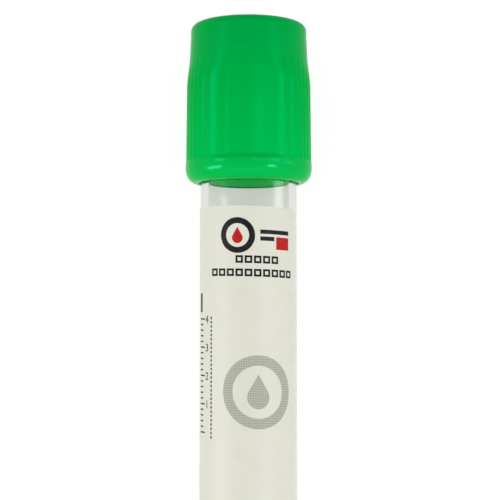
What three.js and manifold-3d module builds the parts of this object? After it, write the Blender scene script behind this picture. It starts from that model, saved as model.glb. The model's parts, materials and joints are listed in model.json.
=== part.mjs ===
// A capped vacuum blood collection tube: a clear tube with a round end, the rubber stopper in its
// mouth, a ribbed safety cap over the two, and a film label round the tube.
//
// Units are millimetres and +Z is up. Each piece is made on the tube's own axis, +Y, with y = 0 at
// the outside of the round end and the angle round the axis counted from +Z towards +X. The whole
// tube then lies on z = 0 as it comes to rest, on the cap's collar and the round end.

import * as THREE from "three";
import { mergeVertices } from "three/addons/utils/BufferGeometryUtils.js";
import Module from "manifold-3d";

const wasm = await Module();
wasm.setup();

// ---- driving dimensions ------------------------------------------------------------------------

const SEGMENTS = 64; // flats round the axis, one of them facing straight down
const ARC_STEPS = 6; // steps in a rounded edge
const SEAT_GAP = 0.3; // between a face and the face it seats on
const RIB_SINK = 0.3; // how far a rib reaches into the wall and the collar that it stands on
const CUT_MARGIN = 1; // how far a cutter runs past what it cuts

const TUBE = {
  outerRadius: 6.5,
  wall: 1.0,
  length: 75,
  lipRadius: 0.3, // rounding of the mouth's edges
  endSteps: 10, // steps in the round end
};

const STOPPER = {
  boreClearance: 0.06, // seal beads to the tube's bore
  beadHeight: 0.24, // how far a seal bead stands out of the plug
  beadCount: 3,
  plugDepth: 11,
  leadIn: 0.8, // taper at the plug's foot
  flangeOverhang: 0.4, // flange radius beyond the tube's
  flangeThickness: 3.0,
  flangeRound: 0.4,
  wellRadius: 3.2, // dished target on top, where the needle goes in
  wellDepth: 1.2,
  cavityRadius: 2.5, // hollow in the plug's foot
  cavityDepth: 3.8,
};

const CAP = {
  skirtOverlap: 14.8, // how far the cap reaches down over the tube
  skirtClearance: 0.3, // skirt bore to the tube's wall
  recessClearance: 0.25, // recess to the stopper's flange, radially
  ledge: 3.35, // thickness over the stopper's flange
  needleHoleRadius: 4.5,
  holeChamfer: 0.4,
  crownWall: 0.73, // wall round the recess, at the smooth band on top
  crownHeight: 4.05,
  crownRound: 1.0,
  crownDraft: 0.12, // growth in radius down the smooth band
  gripDraft: 0.2, // and down the grip, between the ribs
  ribHeightTop: 0.41, // where the ribs are fully risen
  ribHeightBottom: 0.31, // at the collar
  runOut: 4.8, // length over which the ribs rise out of the crown
  collarStep: 0.07, // collar beyond the ribs' crests
  collarHeight: 3.5,
  rimFace: 0.2, // flat ring between the skirt's bore and the collar's rounding
  rimRoundHeight: 2.0,
};

// The grip is the same on both faces: a plain thumb panel, a broad rib on each side of it that
// ramps up from the panel, and a bank of fine ribs from there round to the other face. Angles are
// counted from the middle of a panel, and a rib's ramp is on the side of the nearer panel.
const GRIP = {
  panelAngle: -1.75, // middle of the front panel, degrees
  broadRib: { angle: 37, ramp: 1.7, crest: 0.35, fall: 1.4 },
  fineRib: { angle: 50, ramp: 1.5, crest: 0.2, fall: 1.5 },
  fineRibCount: 11, // on each side
};

const LABEL = {
  thickness: 0.08,
  gap: 0.03, // adhesive, between the film and the tube
  capDistance: 3.6, // top edge to the cap's rim
  footDistance: 11.6, // bottom edge to the outside of the round end
  windowStart: 68, // bare strip of tube between the label's two edges, degrees
  windowEnd: 131,
  skew: 1.4, // how far off square it was stuck on, degrees
};

// ---- sizes that follow -------------------------------------------------------------------------

const boreRadius = TUBE.outerRadius - TUBE.wall;
const flangeBottom = TUBE.length + SEAT_GAP;
const flangeTop = flangeBottom + STOPPER.flangeThickness;
const flangeRadius = TUBE.outerRadius + STOPPER.flangeOverhang;

const skirtRadius = TUBE.outerRadius + CAP.skirtClearance;
const recessRadius = flangeRadius + CAP.recessClearance;
const crownRadius = recessRadius + CAP.crownWall;
const rootRadiusTop = crownRadius + CAP.crownDraft;
const rootRadiusBottom = rootRadiusTop + CAP.gripDraft;
const crestRadiusTop = rootRadiusTop + CAP.ribHeightTop;
const crestRadiusBottom = rootRadiusBottom + CAP.ribHeightBottom;
const collarRadius = crestRadiusBottom + CAP.collarStep;
const rimRadius = skirtRadius + CAP.rimFace;

const rimY = TUBE.length - CAP.skirtOverlap;
const collarTopY = rimY + CAP.collarHeight;
const ledgeY = flangeTop + SEAT_GAP;
const crownY = ledgeY + CAP.ledge;
const gripTopY = crownY - CAP.crownHeight;

const labelInnerRadius = TUBE.outerRadius + LABEL.gap;
const labelTopY = rimY - LABEL.capDistance;
const labelBottomY = LABEL.footDistance;

// ---- outlines and solids -----------------------------------------------------------------------

const radians = THREE.MathUtils.degToRad;

/** Points along an elliptical arc in the (radius, y) plane, both ends included. */
function arc(centreR, centreY, radiusR, radiusY, fromDegrees, toDegrees, steps = ARC_STEPS) {
  const curve = new THREE.EllipseCurve(
    centreR, centreY, radiusR, radiusY,
    radians(fromDegrees), radians(toDegrees), toDegrees < fromDegrees,
  );
  return curve.getPoints(steps);
}

const at = (radius, y) => new THREE.Vector2(radius, y);

/** A body of revolution, turned by half a flat so that a flat faces straight down. */
function revolve(outline) {
  return new THREE.LatheGeometry(outline, SEGMENTS, Math.PI / SEGMENTS);
}

/** A closed mesh as a solid that can be joined and cut. */
function toSolid(geometry) {
  const bare = geometry.clone();
  bare.deleteAttribute("normal");
  bare.deleteAttribute("uv");
  const { attributes, index } = mergeVertices(bare);
  const corners = [];
  for (let i = 0; i < index.count; i += 3) {
    const [a, b, c] = [index.getX(i), index.getX(i + 1), index.getX(i + 2)];
    if (a !== b && b !== c && c !== a) corners.push(a, b, c);
  }
  return new wasm.Manifold(new wasm.Mesh({
    numProp: 3,
    vertProperties: attributes.position.array,
    triVerts: new Uint32Array(corners),
  }));
}

function toGeometry(solid) {
  const { vertProperties, triVerts } = solid.getMesh();
  const geometry = new THREE.BufferGeometry();
  geometry.setAttribute("position", new THREE.BufferAttribute(vertProperties, 3));
  geometry.setIndex(new THREE.BufferAttribute(triVerts, 1));
  return geometry;
}

/** A flat outline, x across and y inwards, drawn out along the tube's axis between two heights. */
function prism(outline, fromY, toY) {
  const geometry = new THREE.ExtrudeGeometry(new THREE.Shape(outline), {
    depth: toY - fromY,
    bevelEnabled: false,
  });
  return geometry.rotateX(-Math.PI / 2).translate(0, fromY, 0);
}

// ---- tube --------------------------------------------------------------------------------------

const TUBE_OUTSIDE = [
  ...arc(0, TUBE.outerRadius, TUBE.outerRadius, TUBE.outerRadius, -90, 0, TUBE.endSteps),
  ...arc(TUBE.outerRadius - TUBE.lipRadius, TUBE.length - TUBE.lipRadius,
    TUBE.lipRadius, TUBE.lipRadius, 0, 90, ARC_STEPS / 2),
];

function tubeGeometry() {
  const inside = [
    ...arc(boreRadius + TUBE.lipRadius, TUBE.length - TUBE.lipRadius,
      TUBE.lipRadius, TUBE.lipRadius, 90, 180, ARC_STEPS / 2),
    ...arc(0, TUBE.outerRadius, boreRadius, boreRadius, 0, -90, TUBE.endSteps),
  ];
  return revolve([...TUBE_OUTSIDE, ...inside]);
}

// ---- stopper -----------------------------------------------------------------------------------

function stopperGeometry() {
  const beadRadius = boreRadius - STOPPER.boreClearance;
  const plugRadius = beadRadius - STOPPER.beadHeight;
  const plugFoot = TUBE.length - STOPPER.plugDepth;
  const beadPitch = (STOPPER.plugDepth - STOPPER.leadIn) / STOPPER.beadCount;
  const beads = [];
  for (let i = 0; i < STOPPER.beadCount; i++) {
    const y = plugFoot + STOPPER.leadIn + (i + 0.5) * beadPitch;
    beads.push(at(plugRadius, y - 2 * STOPPER.beadHeight));
    beads.push(at(beadRadius, y), at(plugRadius, y + 2 * STOPPER.beadHeight));
  }
  const round = STOPPER.flangeRound;
  return revolve([
    at(0, plugFoot + STOPPER.cavityDepth),
    at(STOPPER.cavityRadius, plugFoot + STOPPER.cavityDepth),
    at(STOPPER.cavityRadius, plugFoot),
    at(plugRadius - STOPPER.leadIn / 2, plugFoot),
    at(plugRadius, plugFoot + STOPPER.leadIn),
    ...beads,
    at(plugRadius, flangeBottom),
    ...arc(flangeRadius - round, flangeBottom + round, round, round, -90, 0, ARC_STEPS / 2),
    ...arc(flangeRadius - round, flangeTop - round, round, round, 0, 90, ARC_STEPS / 2),
    at(STOPPER.wellRadius, flangeTop),
    at(STOPPER.wellRadius - STOPPER.wellDepth, flangeTop - STOPPER.wellDepth),
    at(0, flangeTop - STOPPER.wellDepth),
  ]);
}

// ---- safety cap --------------------------------------------------------------------------------

const CAP_OUTSIDE = [
  ...arc(rimRadius, rimY + CAP.rimRoundHeight, collarRadius - rimRadius, CAP.rimRoundHeight, -90, 0),
  at(collarRadius, collarTopY),
  at(rootRadiusBottom, collarTopY),
  at(rootRadiusTop, gripTopY),
  ...arc(crownRadius - CAP.crownRound, crownY - CAP.crownRound, CAP.crownRound, CAP.crownRound, 0, 90),
];

function capShell() {
  const hole = CAP.needleHoleRadius;
  const outline = [
    ...CAP_OUTSIDE,
    at(hole + CAP.holeChamfer, crownY),
    at(hole, crownY - CAP.holeChamfer),
    at(hole, ledgeY),
    at(recessRadius, ledgeY),
    at(recessRadius, TUBE.length),
    at(skirtRadius, TUBE.length),
    at(skirtRadius, rimY),
  ];
  return toSolid(revolve([...outline, outline[0]]));
}

/** One rib, still full height, at an angle from the panel's middle and on one side of it. */
function ribBlank({ ramp, crest, fall }, degrees, side) {
  const sunk = rootRadiusTop - RIB_SINK;
  const halfCrest = crest / 2;
  const outline = [
    [-halfCrest - ramp, sunk], [-halfCrest - ramp, rootRadiusTop], [-halfCrest, crestRadiusBottom],
    [halfCrest, crestRadiusBottom], [halfCrest + fall, rootRadiusTop], [halfCrest + fall, sunk],
  ].map(([across, radius]) => new THREE.Vector2(-side * across, radius));
  return toSolid(prism(outline, collarTopY - RIB_SINK, gripTopY)
    .rotateY(Math.PI + radians(GRIP.panelAngle + side * degrees)));
}

/** What the rib crests may fill: they rise out of the crown and run straight to the collar. */
function crestEnvelope() {
  return toSolid(revolve([
    at(0, collarTopY - RIB_SINK),
    at(crestRadiusBottom, collarTopY - RIB_SINK),
    at(crestRadiusTop, gripTopY - CAP.runOut),
    at((crestRadiusTop + rootRadiusTop) / 2, gripTopY - CAP.runOut / 2),
    at(rootRadiusTop, gripTopY),
    at(0, gripTopY),
  ]));
}

/** The ribs of one side, from the front panel to the back one. */
function ribBank(side) {
  const { broadRib, fineRib, fineRibCount } = GRIP;
  const backBroadRib = { ...broadRib, ramp: broadRib.fall, fall: broadRib.ramp };
  const pitch = (180 - 2 * fineRib.angle) / (fineRibCount - 1);
  const ribs = [
    ribBlank(broadRib, broadRib.angle, side),
    ribBlank(backBroadRib, 180 - broadRib.angle, side),
  ];
  for (let i = 0; i < fineRibCount; i++) {
    ribs.push(ribBlank(fineRib, fineRib.angle + i * pitch, side));
  }
  return ribs;
}

function capGeometry() {
  const ribs = [...ribBank(1), ...ribBank(-1)];
  const grip = ribs.reduce((joined, rib) => joined.add(rib)).intersect(crestEnvelope());
  return toGeometry(capShell().add(grip));
}

// ---- label -------------------------------------------------------------------------------------

const windowMiddle = radians((LABEL.windowStart + LABEL.windowEnd) / 2);

/** Round the tube from one side of the window to the other, each edge a slow helix. */
function labelGeometry() {
  const outerRadius = labelInnerRadius + LABEL.thickness;
  const outline = [
    at(labelInnerRadius, labelBottomY), at(outerRadius, labelBottomY),
    at(outerRadius, labelTopY), at(labelInnerRadius, labelTopY),
  ];
  const sleeve = toSolid(revolve([...outline, outline[0]]));
  const geometry = toGeometry(sleeve.subtract(windowCutter(2 * outerRadius)));
  skew(geometry, Math.tan(radians(LABEL.skew)) * labelInnerRadius);
  return geometry;
}

/** A wedge from the axis outwards that takes the window's stretch out of the sleeve. */
function windowCutter(reach) {
  const halfWidth = reach * Math.tan(radians((LABEL.windowEnd - LABEL.windowStart) / 2));
  const outline = [
    new THREE.Vector2(0, 0), new THREE.Vector2(halfWidth, reach), new THREE.Vector2(-halfWidth, reach),
  ];
  return toSolid(prism(outline, labelBottomY - CUT_MARGIN, labelTopY + CUT_MARGIN)
    .rotateY(Math.PI + windowMiddle));
}

/** Slides each point along the axis by its angle from the side that faces up. */
function skew(geometry, dropPerRadian) {
  const points = geometry.attributes.position;
  for (let i = 0; i < points.count; i++) {
    let angle = Math.atan2(points.getX(i), points.getZ(i));
    if (angle > windowMiddle) angle -= 2 * Math.PI;
    points.setY(i, points.getY(i) - dropPerRadian * angle);
  }
}

// ---- assembly ----------------------------------------------------------------------------------

function piece(name, geometry, color, roughness, options = {}) {
  const material = new THREE.MeshStandardMaterial({ color, roughness, metalness: 0, ...options });
  const mesh = new THREE.Mesh(geometry, material);
  mesh.name = name;
  return mesh;
}

/** Angle of the tube to the plane that it lies on, which touches its round end and the collar. */
function restAngle() {
  const midway = TUBE.length / 2;
  let widest = 0;
  let slope = 0;
  for (const low of TUBE_OUTSIDE.filter((point) => point.y < midway)) {
    for (const high of CAP_OUTSIDE) {
      const rise = (high.x - low.x) / (high.y - low.y);
      const radiusMidway = low.x + rise * (midway - low.y);
      if (radiusMidway > widest) [widest, slope] = [radiusMidway, rise];
    }
  }
  return Math.atan(slope * Math.cos(Math.PI / SEGMENTS));
}

const assembly = new THREE.Group();
assembly.name = "blood_collection_tube";

const tubeBody = new THREE.Group();
tubeBody.add(
  piece("tube", tubeGeometry(), 0xdfe6dd, 0.08, { transparent: true, opacity: 0.35 }),
  piece("label", labelGeometry(), 0xe4e5d8, 0.45),
);

const closure = new THREE.Group();
closure.add(
  piece("stopper", stopperGeometry(), 0x8d8f8c, 0.8),
  piece("safety_cap", capGeometry(), 0x03b44f, 0.35),
);

assembly.add(tubeBody, closure);
assembly.rotation.x = restAngle();
assembly.updateMatrixWorld(true);

const bounds = new THREE.Box3().setFromObject(assembly, true);
const middle = bounds.getCenter(new THREE.Vector3());
assembly.position.set(-middle.x, -middle.y, -bounds.min.z);

export default assembly;
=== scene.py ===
"""Looks of a capped blood collection tube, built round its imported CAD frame.

Each piece is modelled upright and in millimetres: the tube's axis is Z, Z = 0 is the outside of the
round end, and the side that faces up when the tube lies down looks along -Y. It is then laid down
where the CAD tube lies.
"""

import json
import logging
import math
from dataclasses import dataclass
from enum import Enum

import bpy
from mathutils import Matrix, Vector

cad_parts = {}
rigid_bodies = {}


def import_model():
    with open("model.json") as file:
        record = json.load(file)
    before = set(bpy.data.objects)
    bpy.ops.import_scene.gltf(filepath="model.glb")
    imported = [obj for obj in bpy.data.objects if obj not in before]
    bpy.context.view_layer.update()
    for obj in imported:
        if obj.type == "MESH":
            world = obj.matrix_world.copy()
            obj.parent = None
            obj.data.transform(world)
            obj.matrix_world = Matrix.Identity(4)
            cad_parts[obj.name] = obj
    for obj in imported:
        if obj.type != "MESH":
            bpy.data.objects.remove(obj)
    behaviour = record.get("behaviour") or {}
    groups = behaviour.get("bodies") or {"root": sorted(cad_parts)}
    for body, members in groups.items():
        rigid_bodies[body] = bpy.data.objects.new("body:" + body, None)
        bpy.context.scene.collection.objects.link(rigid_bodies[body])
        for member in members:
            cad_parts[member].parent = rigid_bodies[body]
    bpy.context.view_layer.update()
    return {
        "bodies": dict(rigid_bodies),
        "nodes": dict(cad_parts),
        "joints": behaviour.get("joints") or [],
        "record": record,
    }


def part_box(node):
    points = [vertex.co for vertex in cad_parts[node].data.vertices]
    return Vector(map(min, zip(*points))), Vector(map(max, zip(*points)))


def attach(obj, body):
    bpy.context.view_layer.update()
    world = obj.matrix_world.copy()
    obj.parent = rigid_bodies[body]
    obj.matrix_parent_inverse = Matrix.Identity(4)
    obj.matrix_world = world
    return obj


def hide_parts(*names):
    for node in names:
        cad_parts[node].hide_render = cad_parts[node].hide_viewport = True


LOG = logging.getLogger("blood_tube")
MM = 0.001
NEAR = 0.01  # millimetres within which sizes count as equal
WELD = 1e-4  # points this close are made one
FINE_WELD = 1e-5
FULL_SPECULAR = 0.08  # what a shader at full specular level reflects straight back

Point = tuple[float, float]
Colour = tuple[float, float, float]
Piece = bpy.types.Object
Material = bpy.types.Material
Node = bpy.types.Node
Socket = bpy.types.NodeSocket


# ---- the bench ---------------------------


class Bench:
    """Modelling steps that the makers share, each of Blender's own operators."""

    def clear(self) -> None:
        """Deselects every object."""
        bpy.ops.object.select_all(action="DESELECT")

    def pick(self, *pieces: Piece) -> None:
        """Selects only these pieces, the first of them active.

        Args:
            pieces: what to select.
        """
        self.clear()
        for piece in pieces:
            piece.select_set(True)
        bpy.context.view_layer.objects.active = pieces[0]

    def named(self, name: str) -> Piece:
        """Names the active object and its mesh, and returns it.

        Args:
            name: the new name.

        Returns:
            The piece.
        """
        piece = bpy.context.active_object
        piece.name = piece.data.name = name
        return piece

    def edit(self, piece: Piece, kind: str = "VERT") -> None:
        """Opens a piece in edit mode with all of it selected.

        Args:
            piece: what to open.
            kind: what to select in it.
        """
        self.pick(piece)
        bpy.ops.object.mode_set(mode="EDIT")
        bpy.ops.mesh.select_mode(type=kind)
        bpy.ops.mesh.select_all(action="SELECT")

    def close(self) -> None:
        """Leaves edit mode."""
        bpy.ops.object.mode_set(mode="OBJECT")

    def draw(self, name: str, line: list[Point]) -> Piece:
        """Draws an outline beside the axis, from point to point.

        Args:
            name: the piece's name.
            line: (radius, height) pairs.

        Returns:
            The outline, open in edit mode.
        """
        self.clear()
        bpy.ops.mesh.primitive_plane_add(size=1)
        piece = self.named(name)
        self.edit(piece)
        bpy.ops.mesh.merge(type="CENTER")
        radius, height = line[0]
        bpy.ops.transform.translate(value=(radius, 0, height))
        for (r0, z0), (r1, z1) in zip(line, line[1:]):
            bpy.ops.mesh.extrude_region_move(
                TRANSFORM_OT_translate={"value": (r1 - r0, 0, z1 - z0)}
            )
        return piece

    def turn(self, name: str, line: list[Point], steps: int) -> Piece:
        """Turns an outline right round the axis.

        Args:
            name: the piece's name.
            line: (radius, height) pairs, from the axis back to it or round to where they began.
            steps: how many steps go round.

        Returns:
            The closed body.
        """
        piece = self.draw(name, held(line))
        bpy.ops.mesh.select_all(action="SELECT")
        bpy.ops.mesh.spin(steps=steps, angle=2 * math.pi, center=(0, 0, 0), axis=(0, 0, 1))
        self.weld()
        return piece

    def merge(self, reach: float = WELD) -> None:
        """Selects all of the open piece and merges its doubles."""
        bpy.ops.mesh.select_all(action="SELECT")
        bpy.ops.mesh.remove_doubles(threshold=reach)

    def weld(self, reach: float = WELD) -> None:
        """Merges doubles in the open piece, turns its faces outwards and closes it.

        Args:
            reach: how close doubles lie.
        """
        self.merge(reach)
        bpy.ops.mesh.normals_make_consistent(inside=False)
        self.close()

    def finish(self, piece: Piece, kind: str, **settings: object) -> None:
        """Adds a modifier to a piece and applies it.

        Args:
            piece: the piece.
            kind: the modifier's type.
            **settings: the modifier's settings.
        """
        self.pick(piece)
        modifier = piece.modifiers.new(kind.title(), kind)
        for key, value in settings.items():
            setattr(modifier, key, value)
        bpy.ops.object.modifier_apply(modifier=modifier.name)

    def smooth(self, piece: Piece, degrees: float = 30) -> None:
        """Shades a piece smooth, but for edges sharper than an angle."""
        self.pick(piece)
        bpy.ops.object.shade_smooth_by_angle(angle=math.radians(degrees))

    def join(self, name: str, pieces: list[Piece]) -> Piece:
        """Joins pieces into one and names it.

        Args:
            name: the new name.
            pieces: what to join.

        Returns:
            The joined piece.
        """
        self.pick(*pieces)
        bpy.ops.object.join()
        return self.named(name)


def held(line: list[Point], reach: float = 0.12) -> list[Point]:
    """Holds each long straight stretch of an outline, so that it shades straight to its ends.

    Args:
        line: (radius, height) pairs.
        reach: how far from a stretch's ends its added points are.

    Returns:
        The outline with two more points in each stretch that is long enough.
    """
    points = [line[0]]
    for start, end in zip(line, line[1:]):
        length = math.dist(start, end)
        if length > 4 * reach:
            for share in (reach / length, 1 - reach / length):
                points.append(tuple(a + (b - a) * share for a, b in zip(start, end)))
        points.append(end)
    return points


def arc(centre: Point, radii: Point, start: float, end: float, steps: int) -> list[Point]:
    """Points along an elliptical arc beside the axis.

    Args:
        centre: (radius, height) of the arc's centre.
        radii: its half width and half height.
        start: first angle in degrees, from straight outwards.
        end: last angle.
        steps: how many steps it has.

    Returns:
        The points, both ends included.
    """
    angles = [math.radians(start + (end - start) * i / steps) for i in range(steps + 1)]
    return [
        (centre[0] + radii[0] * math.cos(angle), centre[1] + radii[1] * math.sin(angle))
        for angle in angles
    ]


def bend(centre: Point, radius: float, start: float, end: float, steps: int) -> list[Point]:
    """Points along a round arc, otherwise as arc() gives them."""
    return arc(centre, (radius, radius), start, end, steps)


def eased(share: float) -> float:
    """Rounds off both ends of a 0 to 1 rise."""
    return share * share * (3 - 2 * share)


@dataclass(frozen=True)
class Lie:
    """Where the upright tube ends up lying in the row's frame."""

    end_radius: float
    axis: Vector
    centre: Vector

    @classmethod
    def of_frame(cls, frame: dict, end_radius: float) -> "Lie":
        """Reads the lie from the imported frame.

        Args:
            end_radius: radius of the tube's round end, in millimetres.

        Returns:
            The lie, its round end's centre a radius above the floor.
        """
        low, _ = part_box("tube")
        reach = end_radius * MM
        axis = Vector(frame["joints"][0]["axis"]).normalized()
        return cls(end_radius, axis, Vector((0, low.y + reach, low.z + reach)))

    @property
    def matrix(self) -> Matrix:
        """Turns the upright tube down and takes millimetres to metres.

        Returns:
            The matrix.
        """
        tilt = math.atan2(self.axis.z, self.axis.y)
        turn = Matrix.Rotation(tilt - math.pi / 2, 4, "X")
        down = Matrix.Translation((0, 0, -self.end_radius))
        return Matrix.Translation(self.centre) @ turn @ Matrix.Scale(MM, 4) @ down

    def point(self, x: float, y: float, z: float) -> Vector:
        """A point of the upright tube, in the row's frame."""
        return self.matrix @ Vector((x, y, z))

    def lay(self, piece: Piece) -> None:
        """Lays a finished piece down, its place in its mesh.

        Args:
            piece: what to lay down.
        """
        piece.data.transform(piece.matrix_world)
        piece.data.transform(self.matrix)
        piece.matrix_world = Matrix.Identity(4)
        piece.data.update()


# ---- finishes ----------------------------


def blend(one: Colour, other: Colour, share: float) -> Colour:
    """A colour between two, by a 0 to 1 share of the other."""
    return tuple(a + share * (b - a) for a, b in zip(one, other))


@dataclass(frozen=True)
class Relief:
    """A noise in a surface: cells a metre and detail, depth in metres, and strength."""

    cells: Point
    depth: float
    strength: float


class Nodes:
    """The node tree of a material or of the world, with short ways to add to it."""

    def __init__(self, owner: bpy.types.ID, output: str = "ShaderNodeOutputMaterial") -> None:
        """Empties the owner's tree and gives it its output.

        Args:
            owner: what the tree is on.
            output: the output node.
        """
        owner.use_nodes = True
        self.owner = owner
        self.tree = owner.node_tree
        self.tree.nodes.clear()
        self.output = self.add(output)

    def feed(self, socket: Socket, value: object) -> None:
        """Sets an input to a constant, or links it to another node's output.

        Args:
            socket: the input.
            value: a constant or a node's output.
        """
        if isinstance(value, Socket):
            self.tree.links.new(value, socket)
        else:
            socket.default_value = value

    def add(self, kind: str, *inputs: object, **settings: object) -> Node:
        """Adds a node.

        Args:
            kind: its type name.
            *inputs: constants or outputs that feed its first inputs.
            **settings: its properties, and where a key isn't one, what feeds that input.

        Returns:
            The node.
        """
        node = self.tree.nodes.new(kind)
        for socket, value in zip(node.inputs, inputs):
            self.feed(socket, value)
        for key, value in settings.items():
            if hasattr(node, key):
                setattr(node, key, value)
            else:
                self.feed(node.inputs[key.replace("_", " ")], value)
        return node

    def maths(self, operation: str, *terms: object, **settings: object) -> Socket:
        """Adds a maths node and returns its result."""
        return self.add("ShaderNodeMath", *terms, operation=operation, **settings).outputs[0]

    def show(self, shader: Node) -> Node:
        """Shows a shader on the surface, and returns it."""
        self.feed(self.output.inputs["Surface"], shader.outputs[0])
        return shader

    def principled(self, **inputs: object) -> Node:
        """Adds the Principled shader and shows it."""
        return self.show(self.add("ShaderNodeBsdfPrincipled", **inputs))

    def noise(self, scale: float, detail: float) -> Socket:
        """Adds a noise on object coordinates, its scale in cells a metre.

        Args:
            scale: cells a metre.
            detail: octaves.

        Returns:
            Its value.
        """
        place = self.add("ShaderNodeTexCoord").outputs["Object"]
        noise = self.add("ShaderNodeTexNoise", Vector=place, Scale=scale, Detail=detail)
        return noise.outputs["Fac"]

    def ramp(self, source: Socket, stops: Point, *colours: Colour) -> Socket:
        """Adds a ramp of two colours.

        Args:
            source: the value that drives it.
            stops: where its colours are.
            *colours: the colours.

        Returns:
            Its colour.
        """
        ramp = self.add("ShaderNodeValToRGB", source)
        for element, stop, colour in zip(ramp.color_ramp.elements, stops, colours):
            element.position = stop
            element.color = (*colour, 1)
        return ramp.outputs["Color"]

    def about(self, source: Socket, middle: float, spread: float) -> Socket:
        """Takes a 0 to 1 value to one about a middle, by a spread each way."""
        low, high = middle - spread, middle + spread
        return self.add("ShaderNodeMapRange", source, To_Min=low, To_Max=high).outputs["Result"]

    def bump(self, relief: Relief) -> Socket:
        """Adds a relief and returns its normal.

        Args:
            relief: what to add.

        Returns:
            The normal.
        """
        height, depth = self.noise(*relief.cells), relief.depth
        bump = self.add("ShaderNodeBump", Height=height, Distance=depth, Strength=relief.strength)
        return bump.outputs["Normal"]


@dataclass(frozen=True)
class CapPlastic:
    """Green moulded polyethylene, semi-gloss, painted darker towards the second of its ends:
    painted shade.

    Its shine is what it reflects straight back, and its gloss what it reflects at its edges.
    """

    name: str
    # light at the first end, deep at the second: the darkening between them is painted shade
    light: Colour
    deep: Colour
    ends: Point
    # glow: emission, a painted glow; set only for the cap's inside
    glow: float = 0.0
    shine: float = 0.024
    gloss: float = 0.03
    warmth: float = 0.0
    coolness: float = 0.6
    ior: float = 1.5
    roughness: float = 0.22
    spread: float = 0.03
    flow: Point = (260.0, 3.0)
    mottle: float = 0.2
    stops: Point = (0.25, 1.0)
    skin: Relief = Relief((5200, 2), 0.00001, 0.2)

    def material(self) -> Material:
        """Builds the material: painted shade darkens its colour along the cap under a random
        mottle, and its skin is finely moulded.

        Returns:
            The material.
        """
        nodes = Nodes(bpy.data.materials.new(self.name))
        level = self.shine / (FULL_SPECULAR * self.gloss)
        place = nodes.add("ShaderNodeTexCoord").outputs["Object"]
        along = nodes.add("ShaderNodeSeparateXYZ", place).outputs["Y"]
        # painted shade: 0 at the first end, 1 at the second, where the colour turns deep
        painted_shade = nodes.add("ShaderNodeMapRange", along, *self.ends).outputs["Result"]
        flow = nodes.noise(*self.flow)
        mottle_and_painted_shade = nodes.maths("MULTIPLY_ADD", flow, self.mottle, painted_shade)
        nodes.principled(
            IOR=self.ior, Specular_IOR_Level=self.gloss,
            Specular_Tint=(self.warmth * level, level, self.coolness * level, 1),
            Emission_Color=(*self.light, 1), Emission_Strength=self.glow,
            Base_Color=nodes.ramp(mottle_and_painted_shade, self.stops, self.light, self.deep),
            Roughness=nodes.about(flow, self.roughness, self.spread),
            Normal=nodes.bump(self.skin),
        )
        return nodes.owner


@dataclass(frozen=True)
class ClearPlastic:
    """Polished clear PET."""

    name: str = "tube_clear"
    colour: Colour = (0.79, 0.81, 0.775)
    tint: Colour = (0.25, 0.3, 0.27)
    haze: float = 30.0
    ior: float = 1.57
    roughness: float = 0.03
    clearness: float = 1.0
    waves: Relief = Relief((180, 1), 0.00002, 0.3)

    def material(self) -> Material:
        """Builds the material: clear, with faint flow waves, and open to the lamps' light.

        Returns:
            The material.
        """
        nodes = Nodes(bpy.data.materials.new(self.name))
        waves, colour = nodes.noise(*self.waves.cells), (*self.colour, 1)
        plastic = nodes.principled(
            IOR=self.ior, Transmission_Weight=self.clearness,
            Base_Color=colour, Specular_Tint=(*self.tint, 1), Normal=nodes.bump(self.waves),
            Roughness=nodes.about(waves, self.roughness, self.roughness / 2),
        )
        shadow = nodes.add("ShaderNodeLightPath").outputs["Is Shadow Ray"]
        clear = nodes.add("ShaderNodeBsdfTransparent", colour)
        shaders = (plastic.outputs["BSDF"], clear.outputs["BSDF"])
        nodes.show(nodes.add("ShaderNodeMixShader", shadow, *shaders))
        haze = nodes.add("ShaderNodeVolumeAbsorption", (0, 0, 0, 1), self.haze)
        nodes.feed(nodes.output.inputs["Volume"], haze.outputs["Volume"])
        return nodes.owner


@dataclass(frozen=True)
class StopperRubber:
    """Matte grey butyl rubber."""

    deep: Colour = (0.105, 0.11, 0.108)
    light: Colour = (0.15, 0.155, 0.152)
    stops: Point = (0.4, 0.62)
    ior: float = 1.52
    roughness: float = 0.78
    skin: Relief = Relief((1400, 4), 0.00003, 0.4)

    def material(self) -> Material:
        """Builds the material: matte, with a speckled filler and a dusty skin.

        Returns:
            The material.
        """
        nodes = Nodes(bpy.data.materials.new("stopper_grey"))
        speck = nodes.noise(*self.skin.cells)
        nodes.principled(
            IOR=self.ior, Roughness=self.roughness,
            Base_Color=nodes.ramp(speck, self.stops, self.deep, self.light),
            Normal=nodes.bump(self.skin),
        )
        return nodes.owner


@dataclass(frozen=True)
class LabelFilm:
    """Cream satin film; its back has a faint painted glow, painted light for what comes through it.
    """

    name: str = "label_cream"
    # glow: emission, a painted glow; set only for the film's back
    glow: float = 0.0
    deep: Colour = (0.75, 0.755, 0.652)
    light: Colour = (0.77, 0.775, 0.672)
    stops: Point = (0.35, 0.65)
    ior: float = 1.48
    gloss: float = 0.3
    roughness: float = 0.48
    spread: float = 0.05
    cloud: Point = (420.0, 3.0)
    grain: Relief = Relief((9000, 2), 0.000006, 0.3)

    def material(self) -> Material:
        """Builds the material: a faint cloudiness in the film, and a fine grain on its skin.

        Returns:
            The material.
        """
        nodes = Nodes(bpy.data.materials.new(self.name))
        cloud = nodes.noise(*self.cloud)
        nodes.principled(
            IOR=self.ior, Specular_IOR_Level=self.gloss,
            Emission_Color=(*self.light, 1), Emission_Strength=self.glow,
            Base_Color=nodes.ramp(cloud, self.stops, self.deep, self.light),
            Roughness=nodes.about(cloud, self.roughness, self.spread),
            Normal=nodes.bump(self.grain),
        )
        return nodes.owner


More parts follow.
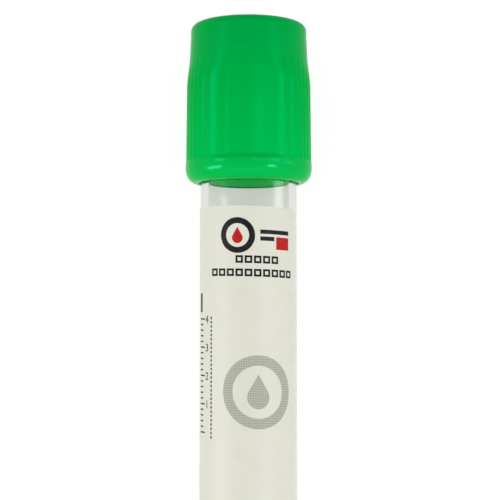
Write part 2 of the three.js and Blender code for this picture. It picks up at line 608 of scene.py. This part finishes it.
@dataclass(frozen=True)
class InkFinish:
    """Satin printing ink, laid down slightly unevenly, or in dots of a pitch in millimetres."""

    name: str
    colour: Colour
    pitch: float = 0.0
    ior: float = 1.48
    gloss: float = 0.12
    roughness: float = 0.45
    dot_edge: Point = (0.42, 0.56)
    between: float = 0.55
    lay: Point = (3800.0, 2.0)
    lay_edge: Point = (0.45, 0.75)
    thin: float = 0.03
    under: Colour = (0.73, 0.73, 0.73)

    def material(self) -> Material:
        """Builds the ink, the film showing through a little where it is thin or between dots.

        Returns:
            The material.
        """
        nodes = Nodes(bpy.data.materials.new(self.name))
        if self.pitch:
            place = nodes.add("ShaderNodeUVMap", uv_map="unrolled").outputs["UV"]
            dots = nodes.add(
                "ShaderNodeTexVoronoi", voronoi_dimensions="2D", Vector=place,
                Scale=1 / self.pitch, Randomness=0.0,
            )
            source, edge = dots.outputs["Distance"], self.dot_edge
            pale = blend(self.colour, LabelFilm().light, self.between)
        else:
            source, edge = nodes.noise(*self.lay), self.lay_edge
            pale = blend(self.colour, self.under, self.thin)
        nodes.principled(
            IOR=self.ior, Specular_IOR_Level=self.gloss,
            Roughness=self.roughness, Base_Color=nodes.ramp(source, edge, self.colour, pale),
        )
        return nodes.owner


class Ink(Enum):
    """The label's printing inks."""

    BLACK = InkFinish("ink_black", (0.006, 0.006, 0.008))
    RED = InkFinish("ink_red", (0.5, 0.006, 0.006))
    GREY = InkFinish("ink_grey", (0.4, 0.41, 0.325), pitch=0.32)


Finish = CapPlastic | ClearPlastic | StopperRubber | LabelFilm | InkFinish


def dress(piece: Piece, *finishes: Finish) -> None:
    """Gives a piece its finishes, the first all over.

    Args:
        piece: what to dress.
        finishes: the first goes all over.
    """
    piece.data.materials.clear()
    for finish in finishes:
        piece.data.materials.append(finish.material())


# ---- the tube ----------------------------


@dataclass
class Tube(Bench):
    """The clear tube: one moulding with a round end."""

    outer_radius: float = 6.5
    wall: float = 1.0
    length: float = 75.0
    lip_radius: float = 0.3
    steps: int = 128
    end_steps: int = 24
    lip_steps: int = 5
    lip: ClearPlastic = ClearPlastic("tube_lip", (0.85, 0.87, 0.85), roughness=0.3, clearness=0.3)

    @property
    def bore_radius(self) -> float:
        """Radius of the bore."""
        return self.outer_radius - self.wall

    def outline(self) -> list[Point]:
        """The wall's section, up the outside and down the inside.

        Returns:
            Points of radius and height.
        """
        radius, lip, bore = self.outer_radius, self.lip_radius, self.bore_radius
        lip_height = self.length - lip
        return [
            *bend((0, radius), radius, -90, 0, self.end_steps),
            *bend((radius - lip, lip_height), lip, 0, 90, self.lip_steps),
            *bend((bore + lip, lip_height), lip, 90, 180, self.lip_steps),
            *bend((0, radius), bore, 0, -90, self.end_steps),
        ]

    def build(self) -> Piece:
        """Makes the tube.

        Returns:
            The tube, upright.
        """
        tube = self.turn("clear_tube", self.outline(), self.steps)
        self.smooth(tube)
        dress(tube, ClearPlastic(), self.lip)
        for face in tube.data.polygons:
            if face.center.z > self.length - self.lip_radius:
                face.material_index = 1
        return tube


# ---- the closure -------------------------


@dataclass
class Stopper(Bench):
    """The rubber stopper: a flange on the tube's mouth and a plug with seal beads."""

    bead_radius: float = 5.44
    bead_height: float = 0.24
    bead_count: int = 3
    bead_steps: int = 8
    foot: float = 64.0
    foot_round: float = 0.2
    lead_in: float = 0.8
    flange_radius: float = 6.9
    flange_bottom: float = 75.3
    flange_top: float = 78.3
    flange_round: float = 0.4
    neck_chamfer: float = 0.1
    well_radius: float = 3.2
    well_depth: float = 1.2
    well_round: float = 0.2
    cavity_radius: float = 2.5
    cavity_depth: float = 3.8
    cavity_round: float = 0.5
    mouth: float = 75.0
    steps: int = 96
    round_steps: int = 5
    edge_steps: int = 3
    crease: float = 40.0

    def outline(self) -> list[Point]:
        """Half the stopper's section, from the cavity's roof round to the well's floor.

        Returns:
            Points of radius and height.
        """
        plug, low = self.bead_radius - self.bead_height, self.foot + self.lead_in
        pitch = (self.mouth - low) / self.bead_count
        radii = (self.bead_height, 2 * self.bead_height)
        beads: list[Point] = []
        for i in range(self.bead_count):
            beads += arc((plug, low + (i + 0.5) * pitch), radii, -90, 90, self.bead_steps)
        roof, hollow = self.foot + self.cavity_depth, self.cavity_round
        small, sole = self.foot_round, self.foot + self.foot_round
        edge, top, bottom = self.flange_round, self.flange_top, self.flange_bottom
        rim = self.flange_radius - edge
        soft, chamfer = self.well_round, self.neck_chamfer
        floor, floor_edge = top - self.well_depth, self.well_radius - self.well_depth
        many, few = self.round_steps, self.edge_steps
        return [
            (0, roof),
            *bend((self.cavity_radius - hollow, roof - hollow), hollow, 90, 0, many),
            (self.cavity_radius, sole),
            *bend((self.cavity_radius + small, sole), small, 180, 270, few),
            *bend((plug - self.lead_in / 2 - small, sole), small, -90, -20, few),
            (plug, low),
            *beads,
            (plug, bottom - chamfer),
            (plug + chamfer, bottom),
            *bend((rim, bottom + edge), edge, -90, 0, many),
            *bend((rim, top - edge), edge, 0, 90, many),
            *bend((self.well_radius + soft, top - soft), soft, 90, 135, few),
            (floor_edge + chamfer, floor + chamfer / 2),
            (floor_edge - chamfer, floor),
            (0, floor),
        ]

    def build(self) -> Piece:
        """Makes the stopper.

        Returns:
            The stopper, upright.
        """
        stopper = self.turn("rubber_stopper", self.outline(), self.steps)
        self.smooth(stopper, self.crease)
        dress(stopper, StopperRubber())
        return stopper


@dataclass(frozen=True)
class Rib:
    """One rib's section, each size along the wall: up from the panel's side, and down again.

    Its flanks are straight where its softness is 0, and round off at both ends where it is 1.
    """

    ramp: float
    crest: float
    fall: float
    softness: float = 1.0

    def height(self, across: float) -> float:
        """How far the rib has risen at a place.

        Args:
            across: distance from the crest's middle, positive away from the nearer panel.

        Returns:
            0 on the wall to 1 on the crest.
        """
        half = self.crest / 2
        if across < -half:
            share = max(0.0, 1 + (across + half) / self.ramp)
        else:
            share = min(1.0, max(0.0, 1 - (across - half) / self.fall))
        return share + self.softness * (eased(share) - share)


@dataclass
class SafetyCap(Bench):
    """The green cap: a smooth crown with the needle hole, a ribbed grip, and a collar.

    Each of its greens is a light and a deep colour; the turn to the deep one towards the crown is
    painted shade.
    """

    rim: float = 60.2
    collar_top: float = 63.05
    grip_top: float = 77.9
    top: float = 81.95
    skirt_radius: float = 6.8
    skirt_chamfer: float = 0.1
    recess_radius: float = 7.15
    rim_radius: float = 7.1
    rim_round_height: float = 2.0
    rim_steps: int = 14
    collar_radius: float = 8.58
    swell: float = 0.8
    swell_rows: int = 8
    root_bottom: float = 8.2
    root_top: float = 8.0
    crest_bottom: float = 8.51
    crest_top: float = 8.41
    run_out: float = 4.8
    crown_radius: float = 7.88
    crown_round: float = 1.0
    crown_edge: float = 0.6
    crown_steps: int = 9
    hole_radius: float = 4.5
    hole_chamfer: float = 0.4
    ledge: float = 78.6
    mouth: float = 75.0
    panel_angle: float = -1.75
    broad_rib: Rib = Rib(2.2, 0.35, 1.4, 0.3)
    broad_rib_angle: float = 37.0
    fine_rib: Rib = Rib(1.5, 0.2, 1.5)
    fine_rib_angle: float = 50.0
    fine_rib_count: int = 11
    steps: int = 720
    grip_rows: int = 24
    crease: float = 35.0
    inner_margin: float = 0.3
    outer_margin: float = 0.2
    rim_margin: float = 0.2
    # each pair is light at the collar's end and deep at the crown's end: painted shade
    grip_green: tuple[Colour, Colour] = ((0.0, 0.486, 0.066), (0.0, 0.37, 0.034))
    # crown greens: the grip's plus a painted reflection of the sky, bluer and a little lighter, in
    # place of the crown's lost shine
    crown_green: tuple[Colour, Colour] = ((0.0, 0.498, 0.092), (0.0, 0.382, 0.06))
    # inside: painted lighter and glowing, painted light standing in for light through the wall
    inside_green: tuple[Colour, Colour] = ((0.0, 0.6, 0.08), (0.0, 0.5, 0.06))
    inside_glow: float = 0.42
    collar_warmth: float = 0.07
    collar_roughness: float = 0.18
    crown_shine: float = 0.006
    grip_shine: float = 0.024
    grip_glosses: tuple[float, ...] = (0.033, 0.025, 0.016, 0.009, 0.005)
    grip_band: float = 0.9

    def outline(self) -> list[Point]:
        """The wall's section without its ribs, from the rim up the outside and down the inside.

        Returns:
            Points of radius and height.
        """
        foot, rows = self.swell_foot, self.swell_rows
        head = foot + self.swell
        pitch = (self.grip_top - head) / self.grip_rows
        heights = [foot + self.swell * i / rows for i in range(rows)]
        heights += [head + pitch * i for i in range(self.grip_rows + 1)]
        rim_round = (self.collar_radius - self.rim_radius, self.rim_round_height)
        rim_centre = (self.rim_radius, self.rim + self.rim_round_height)
        edge, crown_height = self.crown_round, self.top - self.crown_round
        crown_centre = (self.crown_radius - edge, crown_height)
        return [
            *arc(rim_centre, rim_round, -90, 0, self.rim_steps),
            *[(self.wall_at(height), height) for height in heights],
            (self.crown_radius, crown_height - self.crown_edge),
            *bend(crown_centre, edge, 0, 90, self.crown_steps),
            (self.hole_radius + self.hole_chamfer, self.top),
            (self.hole_radius, self.top - self.hole_chamfer),
            (self.hole_radius, self.ledge),
            (self.recess_radius, self.ledge),
            (self.recess_radius, self.mouth),
            (self.skirt_radius, self.mouth),
            (self.skirt_radius, self.rim + self.skirt_chamfer),
            (self.skirt_radius + self.skirt_chamfer, self.rim),
            (self.rim_radius, self.rim),
        ]

    @property
    def swell_foot(self) -> float:
        """Height at which the collar starts to draw in to the grip's wall."""
        return self.collar_top - self.swell / 2

    def drawn_in(self, height: float) -> float:
        """How far the wall has drawn in from the collar, from 0 to 1."""
        return eased(min(1.0, max(0.0, (height - self.swell_foot) / self.swell)))

    def root_at(self, height: float) -> float:
        """Radius of the grip's wall between the ribs at a height, without the collar's swell."""
        share = (height - self.collar_top) / (self.grip_top - self.collar_top)
        return self.root_bottom + (self.root_top - self.root_bottom) * share

    def wall_at(self, height: float) -> float:
        """Radius of the wall between the ribs at a height, with the collar's swell."""
        root = self.root_at(height)
        return root + (self.collar_radius - root) * (1 - self.drawn_in(height))

    def rib_height(self, height: float) -> float:
        """How far a crest stands out of the wall: it rises out of the crown, then runs down.

        Args:
            height: along the axis.

        Returns:
            How far it stands out.
        """
        full = self.grip_top - self.run_out
        if height >= full:
            share = (self.grip_top - height) / self.run_out
            return (self.crest_top - self.root_at(full)) * eased(share)
        share = (full - height) / (full - self.collar_top)
        crest = self.crest_top + (self.crest_bottom - self.crest_top) * share
        return (crest - self.root_at(height)) * self.drawn_in(height)

    def rib_at(self, angle: float) -> float:
        """How far the ribs have risen at an angle.

        Args:
            angle: degrees round the axis from the side that faces up.

        Returns:
            0 between the ribs to 1 on a crest.
        """
        turned = (angle - self.panel_angle + 180) % 360 - 180
        quarter = min(abs(turned), 180 - abs(turned))
        to_length = math.radians(1) * self.root_bottom
        pitch = (180 - 2 * self.fine_rib_angle) / (self.fine_rib_count - 1)
        broad = self.broad_rib.height((quarter - self.broad_rib_angle) * to_length)
        places = [self.fine_rib_angle + i * pitch for i in range(self.fine_rib_count // 2 + 1)]
        fine = [self.fine_rib.height((quarter - place) * to_length) for place in places]
        return max(broad, *fine)

    def raise_ribs(self, cap: Piece) -> None:
        """Casts the grip's wall outwards where the ribs are.

        Args:
            cap: the cap, turned, its wall still smooth.
        """
        group = cap.vertex_groups.new(name="ribs")
        reach = self.collar_radius + self.outer_margin
        for vertex in cap.data.vertices:
            x, y, z = vertex.co
            radius = math.hypot(x, y)
            on_grip = self.swell_foot < z < self.grip_top - NEAR
            if radius < self.recess_radius + self.inner_margin or not on_grip:
                continue
            angle = math.degrees(math.atan2(x, -y))
            share = self.rib_height(z) * self.rib_at(angle) / (reach - radius)
            if share > 0:
                group.add([vertex.index], share, "REPLACE")
        self.finish(
            cap, "CAST", cast_type="CYLINDER", use_z=False, factor=1.0, size=reach,
            use_radius_as_size=False, vertex_group="ribs",
        )
        cap.vertex_groups.clear()

    def finishes(self) -> list[CapPlastic]:
        """The cap's finishes: its collar's, its grip's from the crown down, and its inside's.

        The crown is less shiny than the grip, and is painted bluer and a little lighter, a painted
        reflection of the sky in place of that shine. The gloss at its edges fades down the grip,
        and the inside is painted lighter and glows, painted light for what comes through the wall.

        Returns:
            The finishes.
        """
        low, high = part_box("safety_cap")
        # the painted shade runs from the cap's collar end to its crown end
        ends = (low.y, high.y)
        look = {"warmth": self.collar_warmth, "roughness": self.collar_roughness}
        collar = CapPlastic("cap_green", *self.grip_green, ends, **look)
        grip = []
        for i, gloss in enumerate(self.grip_glosses):
            down = i / (len(self.grip_glosses) - 1)
            # the crown's painted reflection fades into the grip's green down the bands
            greens = [blend(*pair, down) for pair in zip(self.crown_green, self.grip_green)]
            shine = self.crown_shine + (self.grip_shine - self.crown_shine) * down**2
            name = f"cap_green_grip_{i + 1}"
            grip.append(CapPlastic(name, *greens, ends, shine=shine, gloss=gloss))
        # the inside's finish: a painted glow and a lighter green, painted light
        inside = CapPlastic("cap_green_inside_painted_glow", *self.inside_green, ends, self.inside_glow)
        return [collar, *grip, inside]

    def colour(self, cap: Piece) -> None:
        """Gives each of the cap's faces its finish.

        Args:
            cap: the cap, upright.
        """
        dress(cap, *self.finishes())
        bands = len(self.grip_glosses)
        for face in cap.data.polygons:
            x, y, z = face.center
            inside = math.hypot(x, y) < self.recess_radius + NEAR
            if inside and self.rim + self.rim_margin < z < self.ledge + NEAR:
                face.material_index = bands + 1
            elif z > self.collar_top:
                band = max(0, int((self.grip_top - z) / self.grip_band))
                face.material_index = 1 + min(band, bands - 1)

    def build(self) -> Piece:
        """Makes the cap.

        Returns:
            The cap, upright.
        """
        cap = self.turn("ribbed_cap", self.outline(), self.steps)
        self.raise_ribs(cap)
        self.smooth(cap, self.crease)
        self.colour(cap)
        return cap


# ---- the label ---------------------------


@dataclass
class Label(Bench):
    """The film label, wrapped nearly all the way round and stuck on a little askew."""

    inner_radius: float = 6.53
    thickness: float = 0.08
    bottom: float = 11.6
    top: float = 56.6
    window_start: float = 68.0
    window_end: float = 131.0
    skew: float = 1.4
    steps: int = 200
    # the film's back glows: painted light for what comes through the film
    back_glow: float = 0.4

    @property
    def drop(self) -> float:
        """How far the film slides along the axis for each radian round it."""
        return math.tan(math.radians(self.skew)) * self.inner_radius

    def build(self) -> Piece:
        """Makes the film: its section, wound round the axis from one side of the window.

        Returns:
            The film, upright.
        """
        size = (self.thickness, self.top - self.bottom)
        corners = Bar((self.inner_radius, self.bottom), size).outline()
        film = self.draw("label_film", [*corners, corners[0]])
        self.merge()
        self.close()
        begin = math.radians(self.window_end - 360)
        span = math.radians(360 - self.window_end + self.window_start)
        film.data.transform(
            Matrix.Translation((0, 0, -self.drop * begin))
            @ Matrix.Rotation(begin - math.pi / 2, 4, "Z")
        )
        self.finish(
            film, "SCREW", axis="Z", angle=span, screw_offset=-self.drop * span,
            steps=self.steps, render_steps=self.steps,
        )
        self.edit(film, "EDGE")
        bpy.ops.mesh.select_all(action="DESELECT")
        bpy.ops.mesh.select_non_manifold(extend=False)
        bpy.ops.mesh.edge_face_add()
        self.weld(FINE_WELD)
        self.smooth(film)
        # the back of the film gets a painted glow
        dress(film, LabelFilm(), LabelFilm("label_back_painted_glow", self.back_glow))
        for face in film.data.polygons:
            x, y, _ = face.center
            if math.hypot(x, y) < self.inner_radius + self.thickness / 4:
                face.material_index = 1
        return film


@dataclass(frozen=True)
class Bar:
    """An upright oblong: its lower left corner and its size."""

    corner: Point
    size: Point

    def outline(self, origin: Point = (0.0, 0.0)) -> list[Point]:
        """Its outline, its corner counted from an origin.

        Args:
            origin: where it is counted from.

        Returns:
            The corners.
        """
        left, low = origin[0] + self.corner[0], origin[1] + self.corner[1]
        right, high = left + self.size[0], low + self.size[1]
        return [(left, low), (right, low), (right, high), (left, high)]


@dataclass(frozen=True)
class Badge:
    """A printed ring with a drop in it, whose middle is a fall below the ring's."""

    middle: Point
    radius: float
    stroke: float
    steps: int
    fall: float
    drop_radius: float
    drop_steps: int = 32

    @property
    def side(self) -> Point:
        """The ring's rightmost point."""
        return (self.middle[0] + self.radius, self.middle[1])

    def ring(self) -> list[Point]:
        """The ring's outer edge."""
        return bend(self.middle, self.radius, 0, 360, self.steps)[:-1]

    def drop(self) -> list[Point]:
        """The drop's outline, its tip up.

        Returns:
            The points.
        """
        across, up = self.middle[0], self.middle[1] - self.fall
        tip = (across, up + 2 * self.drop_radius)
        return [*bend((across, up), self.drop_radius, -210, 30, self.drop_steps), tip]


@dataclass
class LabelPrint(Bench):
    """Generic print on the film: a ring with a drop, boxes to fill in, and a numbered scale.

    Places are (across, up) on the unrolled film: millimetres round the tube from the side that
    faces up, and height over the round end. The bars are placed from the badge's side, and the
    ticks from the scale's foot.
    """

    radius: float = 6.606
    thickness: float = 0.016
    skew: float = 1.4
    step: float = 0.5
    badge: Badge = Badge((-1.5, 52.7), 2.35, 0.78, 64, 0.35, 0.72)
    long_bar: Bar = Bar((0.7, 0.25), (4.5, 0.55))
    short_bar: Bar = Bar((0.7, -0.65), (2.0, 0.55))
    red_bar: Bar = Bar((3.0, -1.75), (2.2, 1.65))
    box: Bar = Bar((-5.4, 47.3), (1.0, 1.0))
    box_stroke: float = 0.27
    box_pitch: float = 1.22
    box_count: int = 10
    upper_box_count: int = 5
    upper_indent: float = 3.66
    line_pitch: float = 1.75
    faint_badge: Badge = Badge((1.3, 32.2), 4.8, 1.35, 96, 0.7, 1.5)
    scale_foot: Point = (-8.6, 26.6)
    tick: Bar = Bar((0.0, -0.1), (1.0, 0.2))
    tick_pitch: float = 0.75
    tick_count: int = 21
    long_tick: Bar = Bar((0.95, -0.09), (0.55, 0.18))
    long_every: int = 5
    number_height: float = 1.5
    number_gap: float = 1.7
    number_fall: float = 0.54
    block: Bar = Bar((0.0, 0.9), (0.7, 2.5))
    dash: Bar = Bar((-5.7, 25.9), (0.24, 0.34))
    dash_pitch: float = 0.56
    dash_count: int = 29

    def mark(self, outline: list[Point], stroke: float = 0.0) -> Piece:
        """Makes a flat mark.

        Args:
            outline: its (across, up) corners.
            stroke: width of its line, or 0 for a solid mark.

        Returns:
            The mark, on the flat film.
        """
        piece = self.draw("mark", [*outline, outline[0]])
        self.merge()
        bpy.ops.mesh.edge_face_add()
        if stroke:
            bpy.ops.mesh.inset(thickness=stroke)
            bpy.ops.mesh.delete(type="FACE")
            bpy.ops.mesh.select_all(action="SELECT")
        bpy.ops.mesh.extrude_region_move(TRANSFORM_OT_translate={"value": (0, -self.thickness, 0)})
        self.weld()
        return piece

    def row(self, outline: list[Point], count: int, pitch: Point, stroke: float = 0.0) -> Piece:
        """Makes a row of marks, its pitch given across and up.

        Args:
            outline: one mark.
            count: how many.
            pitch: from mark to mark.
            stroke: its line, or 0 if full.

        Returns:
            The row.
        """
        piece = self.mark(outline, stroke)
        self.finish(
            piece, "ARRAY", count=count, use_relative_offset=False, use_constant_offset=True,
            constant_offset_displace=(pitch[0], 0, pitch[1]),
        )
        return piece

    def number(self, digit: int, place: Point) -> Piece:
        """Sets a plain digit, its foot's left corner at a place.

        Args:
            digit: which one.
            place: its foot.

        Returns:
            The number.
        """
        self.clear()
        bpy.ops.object.text_add(rotation=(math.pi / 2, 0, 0))
        text = bpy.context.active_object
        text.data.body = str(digit)
        text.data.size = self.number_height
        text.data.extrude = self.thickness / 2
        text.location = (place[0], -self.thickness / 2, place[1])
        bpy.ops.object.convert(target="MESH")
        bpy.ops.object.transform_apply()
        piece = self.named("number")
        self.edit(piece)
        self.weld(FINE_WELD)
        return piece

    def line(self, start: Point, count: int) -> Piece:
        """Makes a line of empty boxes, its start counted from the lower line's."""
        return self.row(self.box.outline(start), count, (self.box_pitch, 0), self.box_stroke)

    def scale(self) -> list[Piece]:
        """The scale's ticks, long ticks, block, dashed line and numbers.

        Returns:
            The marks.
        """
        foot, pitch = self.scale_foot, self.tick_pitch
        long_pitch = self.long_every * pitch
        top = self.tick_count // self.long_every
        head = (foot[0], foot[1] + pitch * (self.tick_count - 1))
        left, low = foot[0] + self.number_gap, foot[1] - self.number_fall
        return [
            self.row(self.tick.outline(foot), self.tick_count, (0, pitch)),
            self.row(self.long_tick.outline(foot), top + 1, (0, long_pitch)),
            self.mark(self.block.outline(head)),
            self.row(self.dash.outline(), self.dash_count, (0, self.dash_pitch)),
            *[self.number(i, (left, low + i * long_pitch)) for i in range(1, top + 1)],
        ]

    def black(self) -> list[Piece]:
        """The black marks: the badge's ring and bars, the lines of boxes, and the scale.

        Returns:
            The marks.
        """
        badge = self.badge
        indented = (self.upper_indent, self.line_pitch)
        return [
            self.mark(badge.ring(), badge.stroke),
            self.mark(self.long_bar.outline(badge.side)),
            self.mark(self.short_bar.outline(badge.side)),
            self.line(indented, self.upper_box_count),
            self.line((0, 0), self.box_count),
            *self.scale(),
        ]

    def red(self) -> list[Piece]:
        """The red marks: the badge's drop, and a bar beside it."""
        badge = self.badge
        return [self.mark(badge.drop()), self.mark(self.red_bar.outline(badge.side))]

    def grey(self) -> list[Piece]:
        """The faint marks: a large ring with a drop, broken into fine dots."""
        badge = self.faint_badge
        return [self.mark(badge.ring(), badge.stroke), self.mark(badge.drop())]

    def roll(self, ink: Ink, pieces: list[Piece]) -> Piece:
        """Joins one ink's marks, cuts them into narrow strips and rolls them onto the film.

        Args:
            ink: the ink.
            pieces: its marks, flat.

        Returns:
            The ink's print, upright.
        """
        sheet = self.join(ink.value.name.replace("ink", "print"), pieces)
        self.edit(sheet)
        across = [vertex.co.x for vertex in sheet.data.vertices]
        low, high = min(across), max(across)
        for i in range(1, math.ceil((high - low) / self.step)):
            bpy.ops.mesh.select_all(action="SELECT")
            bpy.ops.mesh.bisect(plane_co=(low + i * self.step, 0, 0), plane_no=(1, 0, 0))
        self.weld(FINE_WELD)
        unrolled = sheet.data.uv_layers.new(name="unrolled")
        for loop in sheet.data.loops:
            place = sheet.data.vertices[loop.vertex_index].co
            unrolled.data[loop.index].uv = (place.x, place.z)
        lean = Matrix.Identity(4)
        lean[2][0] = -math.tan(math.radians(self.skew))
        sheet.data.transform(lean)
        angle = (high - low) / self.radius
        self.finish(sheet, "SIMPLE_DEFORM", deform_method="BEND", deform_axis="Z", angle=angle)
        sheet.data.transform(Matrix.Translation((0, -self.radius, 0)))
        self.smooth(sheet)
        dress(sheet, ink.value)
        return sheet

    def build(self) -> list[Piece]:
        """Makes the print, one piece for each ink.

        Returns:
            The black, red and grey prints, upright.
        """
        return [
            self.roll(Ink.BLACK, self.black()),
            self.roll(Ink.RED, self.red()),
            self.roll(Ink.GREY, self.grey()),
        ]


# ---- stage -------------------------------


@dataclass(frozen=True)
class Glint:
    """A soft box that shows only in shiny surfaces, on a circle round the tube.

    Its angle is counted round the tube from the camera's side, its rise along the tube from the
    lamps' height, its size is across and along, and its level is 1 where it would look white.
    """

    name: str
    angle: float
    rise: float
    size: Point
    level: float


@dataclass
class Studio:
    """Floor, sky, glints and camera: floor and camera's clip in metres, the rest in millimetres."""

    lie: Lie
    lens: float = 108.1
    sensor: float = 36.0
    clip: float = 0.005
    eye: tuple[float, float, float] = (0.18, -203.0, 38.3)
    aim_height: float = 51.17
    floor_size: float = 1.6
    floor_drop: float = 0.00002
    floor_glow: float = 0.89
    floor_white: Colour = (0.85, 0.85, 0.85)
    floor_shown: Colour = (0.16, 0.16, 0.16)
    sky_foot: float = 1.48
    sky_cap: float = 0.46
    sky_sides: float = 0.8
    lamp_distance: float = 400.0
    lamp_height: float = 55.0
    glints: tuple[Glint, ...] = (
        Glint("grip_middle", 18, 80, (130, 46), 3.2),
        Glint("grip_left", -53.5, 112, (125, 110), 4.6),
        Glint("grip_right", 49, 112, (140, 110), 3.9),
        Glint("collar_left", -66, -103, (200, 95), 14),
        Glint("collar_right", 42, -90, (100, 85), 17),
        Glint("collar_foot", 0, -350, (500, 200), 1.0),
        Glint("neck_left", -67, 44, (100, 16), 0.5),
        Glint("neck_right", 78, 44, (190, 16), 5.2),
    )

    def facing(self, spot: Vector, target: Vector) -> Matrix:
        """Turns a thing at a spot to face a target, its top towards the cap.

        Args:
            spot: where it is.
            target: what it faces.

        Returns:
            Its matrix.
        """
        back = (spot - target).normalized()
        right = self.lie.axis.cross(back).normalized()
        turn = Matrix((right, back.cross(right), back)).transposed()
        return Matrix.Translation(spot) @ turn.to_4x4()

    def camera(self) -> None:
        """Sets the camera over the tube, its top towards the cap."""
        bpy.ops.object.camera_add()
        camera = bpy.context.active_object
        camera.name = "camera"
        aim = self.lie.point(self.eye[0], 0, self.aim_height)
        camera.matrix_world = self.facing(self.lie.point(*self.eye), aim)
        camera.data.lens = self.lens
        camera.data.sensor_width = self.sensor
        camera.data.clip_start = self.clip
        bpy.context.scene.camera = camera

    def floor(self) -> None:
        """Lays the pale floor, which shows white but keeps the tube's shadow."""
        bpy.ops.mesh.primitive_plane_add(size=self.floor_size, location=(0, 0, -self.floor_drop))
        floor = bpy.context.active_object
        floor.name = "floor"
        nodes = Nodes(bpy.data.materials.new("floor_white"))
        path = nodes.add("ShaderNodeLightPath")
        seen = path.outputs["Is Camera Ray"]
        for ray in ("Is Glossy Ray", "Is Transmission Ray"):
            seen = nodes.maths("ADD", seen, path.outputs[ray], use_clamp=True)
        white = nodes.add("ShaderNodeBsdfDiffuse", (*self.floor_white, 1))
        shown = nodes.add("ShaderNodeBsdfDiffuse", (*self.floor_shown, 1))
        glow = nodes.add("ShaderNodeEmission", (1, 1, 1, 1), self.floor_glow)
        both = nodes.add("ShaderNodeAddShader", shown.outputs[0], glow.outputs[0])
        nodes.show(nodes.add("ShaderNodeMixShader", seen, white.outputs[0], both.outputs[0]))
        floor.data.materials.append(nodes.owner)

    def sky(self) -> None:
        """Hangs the soft sky: brightest at the tube's foot, and a little at its sides."""
        nodes = Nodes(bpy.data.worlds.new("sky"), "ShaderNodeOutputWorld")
        place = nodes.add("ShaderNodeTexCoord").outputs["Generated"]
        split = nodes.add("ShaderNodeSeparateXYZ", place)
        ends = (-1, 1, self.sky_foot, self.sky_cap)
        along = nodes.add("ShaderNodeMapRange", split.outputs["Y"], *ends).outputs["Result"]
        across = nodes.maths("POWER", split.outputs["X"], 2)
        level = nodes.maths("MULTIPLY_ADD", across, self.sky_sides, along)
        nodes.show(nodes.add("ShaderNodeBackground", Strength=level))
        bpy.context.scene.world = nodes.owner

    def hang(self, glint: Glint) -> None:
        """Hangs a glint.

        Args:
            glint: what to hang.
        """
        bpy.ops.object.light_add(type="AREA")
        lamp = bpy.context.active_object
        lamp.name = glint.name
        lamp.visible_diffuse = False
        width, height = glint.size[0] * MM, glint.size[1] * MM
        lamp.data.shape = "RECTANGLE"
        lamp.data.size, lamp.data.size_y = width, height
        lamp.data.energy = math.pi * glint.level * width * height
        turn, far = math.radians(glint.angle), self.lamp_distance
        along = self.lamp_height + glint.rise
        spot = self.lie.point(far * math.sin(turn), -far * math.cos(turn), along)
        lamp.matrix_world = self.facing(spot, self.lie.point(0, 0, self.lamp_height))

    def build(self) -> None:
        """Sets the whole stage."""
        self.camera()
        self.floor()
        self.sky()
        for glint in self.glints:
            self.hang(glint)
        bpy.context.scene.view_settings.view_transform = "Standard"


# ---- the whole object --------------------


@dataclass(frozen=True)
class Seat:
    """Which body a piece rides on, the CAD node it stands for and its material slot."""

    body: str
    node: str | None
    slot: str


def seat(piece: Piece, lie: Lie, place: Seat) -> None:
    """Lays a finished piece down and ties it to the frame.

    Args:
        piece: the piece, upright.
        lie: where the tube lies.
        place: its body, node and slot.
    """
    lie.lay(piece)
    if place.node:
        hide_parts(place.node)
    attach(piece, place.body)
    LOG.info("%s: %d faces, on %s", piece.name, len(piece.data.polygons), place.body)


def main() -> None:
    """Builds the looks in order and reports each piece."""
    logging.basicConfig(level=logging.INFO, format="%(name)s: %(message)s")
    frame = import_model()
    tube = Tube()
    lie = Lie.of_frame(frame, tube.outer_radius)
    seat(tube.build(), lie, Seat("tube_body", "tube", "clear_plastic"))
    seat(Label().build(), lie, Seat("tube_body", "label", "label_film"))
    for sheet in LabelPrint().build():
        seat(sheet, lie, Seat("tube_body", None, "label_film"))
    seat(Stopper().build(), lie, Seat("closure", "stopper", "stopper_rubber"))
    seat(SafetyCap().build(), lie, Seat("closure", "safety_cap", "cap_plastic"))
    Studio(lie).build()


if __name__ == "__main__":
    main()
